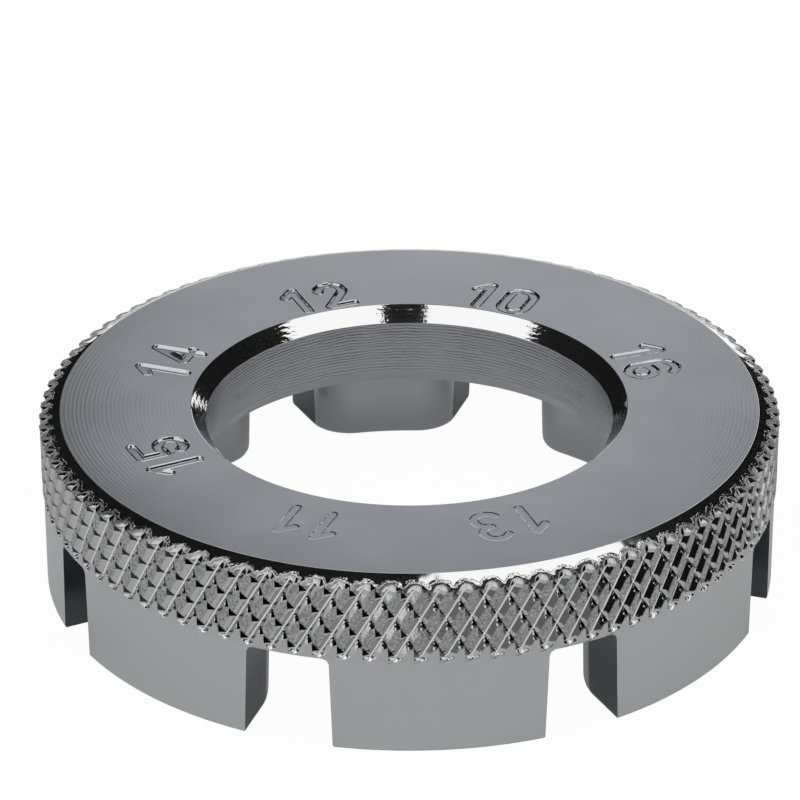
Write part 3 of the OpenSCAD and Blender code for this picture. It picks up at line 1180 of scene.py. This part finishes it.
# %% [markdown]
# The bright line and the notches come from the exact places. A point is in a notch where the shallow
# groove's left wall lies deeper than the deep groove's wall beside it, above the lowest crossings and
# away from the arches.

# %% Masks from the places
GROOVE_LINE = 0.05 * MM

here = g.node("ShaderNodeGroup", {"node_tree": places}).outputs
from_main, from_light = here["From Main Line"], here["From Light Line"]
from_bottom = g.math("ABSOLUTE", from_main)
in_line = g.mapped(from_bottom, GROOVE_LINE * 1.25, GROOVE_LINE * 0.75)
in_line = g.math("MULTIPLY", in_line, pressed_in)
main_cut = g.mapped(from_bottom, 0.0, knurl_sizes["Half Width"], KNURL_DEPTH, 0.0)
notch_deep = g.math("MINIMUM", *[
    g.mapped(from_main, knurl_sizes[f"Notch {side} Full"], knurl_sizes[f"Notch {side} End"], KNURL_DEPTH,
             KNURL_LIGHT_DEPTH) for side in ("Left", "Right")])
notch_up = g.math("MULTIPLY", from_light, -KNURL_DEPTH / knurl_sizes["Light Wall Left"])
notch_cut = g.math("SUBTRACT", notch_deep, notch_up)
in_notch = g.mapped(g.math("SUBTRACT", notch_cut, main_cut), 0.03 * MM, 0.06 * MM)
on_left_wall = g.mapped(from_light, 0.02 * MM, -0.01 * MM)
above_crossings = g.mapped(parts[2], KNURL_CROSS_Z, KNURL_CROSS_Z + 0.1 * MM)
below_arch = g.mapped(torn_arch, 0.6, 1.0)
for mask in (on_left_wall, above_crossings, below_arch):
    in_notch = g.math("MULTIPLY", in_notch, mask)
print("knurled rim:", len(g.tree.nodes), "nodes with its masks")

# %% [markdown]
# The masks lay the tones over each other like coats of paint: grainy flats, the plain band, the pressed
# walls in a lighter tone that paints light on them, the bright lines in a light tone that paints a
# highlight over their real shine, the lips, and the notches last in a dark tone that paints their shade.
# The pressed parts are also the shiny ones.

# %% Tone and shine of the knurl
GRAIN_SCALE = 7000.0
GRAIN_CONTRAST = 0.9
FLAT_TONE = 0.385
BAND_TONE = 0.54
# painted light: the groove walls are lighter than the flats
PAINTED_WALL_LIGHT_TONE = 0.56
# the mirror tone of the lips, burrs and bevel, and a painted highlight along the groove bottoms
MIRROR_AND_HIGHLIGHT_TONE = 0.93
# painted shade: the notches are dark all round
NOTCH_SHADE_TONE = 0.14
BLUE_SHARE = 1.01
DULL = 0.28
SHINY = 0.07


def blend(share, first, second):
    """A number between two others: the first where the share is 0."""
    return g.math("MULTIPLY_ADD", share, g.math("SUBTRACT", second, first), first)


grain = g.node("ShaderNodeTexNoise", Vector=coords, Scale=GRAIN_SCALE, Detail=2.0).outputs[0]
tone = g.math("MULTIPLY_ADD", g.math("SUBTRACT", grain, 0.5), GRAIN_CONTRAST, FLAT_TONE)
# the wall tone paints light, the line tone paints a highlight, and the notch tone paints shade
for mask, value in ((plain, BAND_TONE), (pressed_in, PAINTED_WALL_LIGHT_TONE), (in_line, MIRROR_AND_HIGHLIGHT_TONE),
                    (raised, MIRROR_AND_HIGHLIGHT_TONE), (in_notch, NOTCH_SHADE_TONE)):
    tone = blend(mask, tone, value)
blue = g.math("MULTIPLY", tone, BLUE_SHARE)
colour = g.node("ShaderNodeCombineColor", Red=tone, Green=tone, Blue=blue)
g.give(colour.outputs[0], surface.inputs["Base Color"])
shine = g.math("MAXIMUM", g.math("MAXIMUM", pressed_in, raised), in_notch)
g.give(blend(shine, DULL, SHINY), surface.inputs["Roughness"])
print("knurled rim:", len(g.tree.nodes), "nodes with its tone")

# %% [markdown]
# Last come the normals. A Bump node adds the grain. Then three places get the direction of their real
# surface, because the mesh is too coarse to give it: the bottoms of the grooves and the lips face straight
# out, and a notch's wall leans by a fixed angle. Two vectors are mixed for that, and the renderer makes
# the result a unit vector again.

# %% Normals of the knurl
NOTCH_LEAN = math.radians(38)
LIP_SHARE = 0.6


def bend_normal(normal, towards, share):
    """A normal turned towards a direction in the object's axes by a share."""
    settings = {"vector_type": "NORMAL", "convert_from": "OBJECT", "convert_to": "WORLD"}
    target = g.node("ShaderNodeVectorTransform", settings, Vector=towards)
    bent = g.node("ShaderNodeMix", {"data_type": "VECTOR"}, Factor=share)
    ends = [socket for socket in bent.inputs if socket.type == "VECTOR"][-2:]
    g.give(normal, ends[0])
    g.give(target.outputs[0], ends[1])
    return [socket for socket in bent.outputs if socket.type == "VECTOR"][0]


outward = g.node("ShaderNodeCombineXYZ", X=parts[0], Y=parts[1], Z=0.0)
wall_side = math.tan(NOTCH_LEAN) * math.cos(KNURL_SLANT)
wall_rise = math.tan(NOTCH_LEAN) * math.sin(KNURL_SLANT)
wall = g.node("ShaderNodeCombineXYZ",
              X=g.math("SUBTRACT", parts[0], g.math("MULTIPLY", parts[1], wall_side)),
              Y=g.math("ADD", parts[1], g.math("MULTIPLY", parts[0], wall_side)),
              Z=g.math("MULTIPLY", from_axis(g, parts), wall_rise))
grain_share = g.math("ADD", blend(pressed_in, 1.0, 0.7), g.math("MULTIPLY", arch_edge, 2.0))
grain_height = g.math("MULTIPLY", g.math("MULTIPLY", grain, in_arch), grain_share)
rough = g.node("ShaderNodeBump", Height=grain_height, Distance=0.008 * MM)
lip_flat = g.math("MULTIPLY", g.math("MULTIPLY", g.mapped(torn_arch, 0.3, 0.55), LIP_SHARE),
                  field("knurl_cut", 0.06 * MM, 0.01 * MM))
normal = bend_normal(rough.outputs[0], outward.outputs[0], g.math("MAXIMUM", in_line, lip_flat))
g.give(bend_normal(normal, wall.outputs[0], in_notch), surface.inputs["Normal"])
print("knurled rim:", len(g.tree.nodes), "nodes in all")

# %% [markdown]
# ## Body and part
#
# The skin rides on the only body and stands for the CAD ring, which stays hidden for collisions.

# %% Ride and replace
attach(wrench, "root")
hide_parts("wrench_ring")
print(wrench.name, "rides on root and stands for wrench_ring")

# %% [markdown]
# ## Camera
#
# The photograph was taken from a little above with a long lens. The turn, the rise, the distance and the
# focal length were found by fitting a pinhole camera to the ellipses of the rim and the hole and to the
# height of the skirt. Blender wants the lens in millimetres for a sensor width, so the focal length in
# pixels is scaled by the two widths. The camera looks at the middle of the marked face, and a small shift
# puts the ring where the photograph has it.

# %% Camera
CAMERA_TURN = math.radians(-90 + 18.3)
CAMERA_RISE = math.radians(27.442)
CAMERA_DISTANCE = 263.437 * MM
FOCAL_PX = 4400.98
PHOTO_PX = 800
SENSOR_MM = 36
SHIFT_X = -0.0117
SHIFT_Y = 0.0004

target = Vector((0, 0, TOP_Z))
back = Vector((math.cos(CAMERA_TURN) * math.cos(CAMERA_RISE),
               math.sin(CAMERA_TURN) * math.cos(CAMERA_RISE), math.sin(CAMERA_RISE)))
camera_data = bpy.data.cameras.new("camera")
camera_data.sensor_width = SENSOR_MM
camera_data.lens = SENSOR_MM * FOCAL_PX / PHOTO_PX
camera_data.shift_x = SHIFT_X
camera_data.shift_y = SHIFT_Y
camera_data.clip_start = 10 * MM
camera_data.clip_end = 5000 * MM
camera = bpy.data.objects.new("camera", camera_data)
camera.location = target + back * CAMERA_DISTANCE
camera.rotation_mode = "QUATERNION"
camera.rotation_quaternion = (-back).to_track_quat("-Z", "Y")
bpy.context.scene.collection.objects.link(camera)
bpy.context.scene.camera = camera
print("lens in mm:", round(camera_data.lens, 1))

# %% [markdown]
# ## Floor
#
# The floor is a pale matte plane. The camera sees it nearly white through Light Path, and the metal
# mirrors a weaker share of that white, so the skirt keeps its grey. The rest is matte paint, which holds
# the ring's soft shadow.

# %% Floor
FLOOR_HALF = 1500 * MM
FLOOR_TONE = 0.9
FLOOR_WHITE_SEEN = 0.97
FLOOR_WHITE_MIRRORED = 0.25


def stage_mesh(name, corners, faces, material):
    """A mesh that belongs to the stage, not to the wrench."""
    mesh = bpy.data.meshes.new(name)
    mesh.from_pydata(corners, [], faces)
    mesh.materials.append(material)
    made = bpy.data.objects.new(name, mesh)
    bpy.context.scene.collection.objects.link(made)


floor_material = bpy.data.materials.new("floor")
floor_material.use_nodes = True
tree = floor_material.node_tree
tree.nodes.clear()
g = Graph(tree)
matte = g.node("ShaderNodeBsdfDiffuse", Color=(FLOOR_TONE, FLOOR_TONE, FLOOR_TONE, 1.0))
white = g.node("ShaderNodeEmission", Strength=1.0)
paths = g.node("ShaderNodeLightPath")
mirrored = g.math("MAXIMUM", paths.outputs["Is Glossy Ray"], paths.outputs["Is Transmission Ray"])
share = g.math("MAXIMUM", g.math("MULTIPLY", paths.outputs["Is Camera Ray"], FLOOR_WHITE_SEEN),
               g.math("MULTIPLY", mirrored, FLOOR_WHITE_MIRRORED))
mix = g.node("ShaderNodeMixShader", Fac=share)
tree.links.new(matte.outputs[0], mix.inputs[1])
tree.links.new(white.outputs[0], mix.inputs[2])
output = tree.nodes.new("ShaderNodeOutputMaterial")
tree.links.new(mix.outputs[0], output.inputs[0])
floor_corners = [(-FLOOR_HALF, -FLOOR_HALF, 0), (FLOOR_HALF, -FLOOR_HALF, 0), (FLOOR_HALF, FLOOR_HALF, 0),
                 (-FLOOR_HALF, FLOOR_HALF, 0)]
stage_mesh("floor", floor_corners, [(0, 1, 2, 3)], floor_material)
print("floor nodes:", len(tree.nodes))

# %% [markdown]
# ## Cards
#
# Bare metal shows what stands round it, so a photographer shapes it with cards. The black ones give the
# bevels and the groove walls their dark parts, and the gaps between them stay white. A grey card keeps
# the walls at the front from turning white. Each card is a strip of a sphere round the ring, given by its
# turn from the camera and its rise above the floor.

# %% Cards
CARD_STEPS = 12


def card_material(name, tone):
    """A matte material of one grey tone."""
    material = bpy.data.materials.new(name)
    material.use_nodes = True
    surface = material.node_tree.nodes["Principled BSDF"]
    surface.inputs["Base Color"].default_value = (tone, tone, tone, 1.0)
    surface.inputs["Roughness"].default_value = 1.0
    return material


black = card_material("black_card", 0.01)
grey = card_material("grey_card", 0.36)
# card: turn from and to, rise from and to in degrees, distance in mm, material
CARDS = {
    "black_card_right": (85, 165.5, 6, 57, 600, black),
    "black_card_left": (-169.5, -85, 2, 52, 600, black),
    "grey_card_low": (-62, -9, 0.5, 14, 650, grey),
    "black_card_over": (-189, -118, 46, 88, 580, black),
    "camera_shade": (-13, 21, 47, 68, 700, black),
    "camera_dark": (-9, 65, 0.5, 38, 700, black),
}
for name, (turn_from, turn_to, rise_from, rise_to, distance, material) in CARDS.items():
    corners = []
    for i in range(CARD_STEPS + 1):
        turn = CAMERA_TURN + math.radians(turn_from + (turn_to - turn_from) * i / CARD_STEPS)
        for rise in (math.radians(rise_from), math.radians(rise_to)):
            corners.append(Vector((math.cos(turn) * math.cos(rise), math.sin(turn) * math.cos(rise),
                                   math.sin(rise))) * distance * MM)
    faces = [(2 * i, 2 * i + 2, 2 * i + 3, 2 * i + 1) for i in range(CARD_STEPS)]
    stage_mesh(name, corners, faces, material)
print("cards:", list(CARDS))

# %% [markdown]
# ## Light
#
# A white world at a strength of 1 lights the ring from all sides, like a tent of white cloth round the
# table. Small lamps would show as hard spots in polished metal. At that level a colour renders about as
# it is written, and the Standard view keeps it so.

# %% Light
world = bpy.data.worlds.new("studio")
bpy.context.scene.world = world
world.use_nodes = True
background = world.node_tree.nodes["Background"]
background.inputs["Color"].default_value = (1, 1, 1, 1)
background.inputs["Strength"].default_value = 1.0
bpy.context.scene.view_settings.view_transform = "Standard"
print("world strength:", background.inputs["Strength"].default_value)
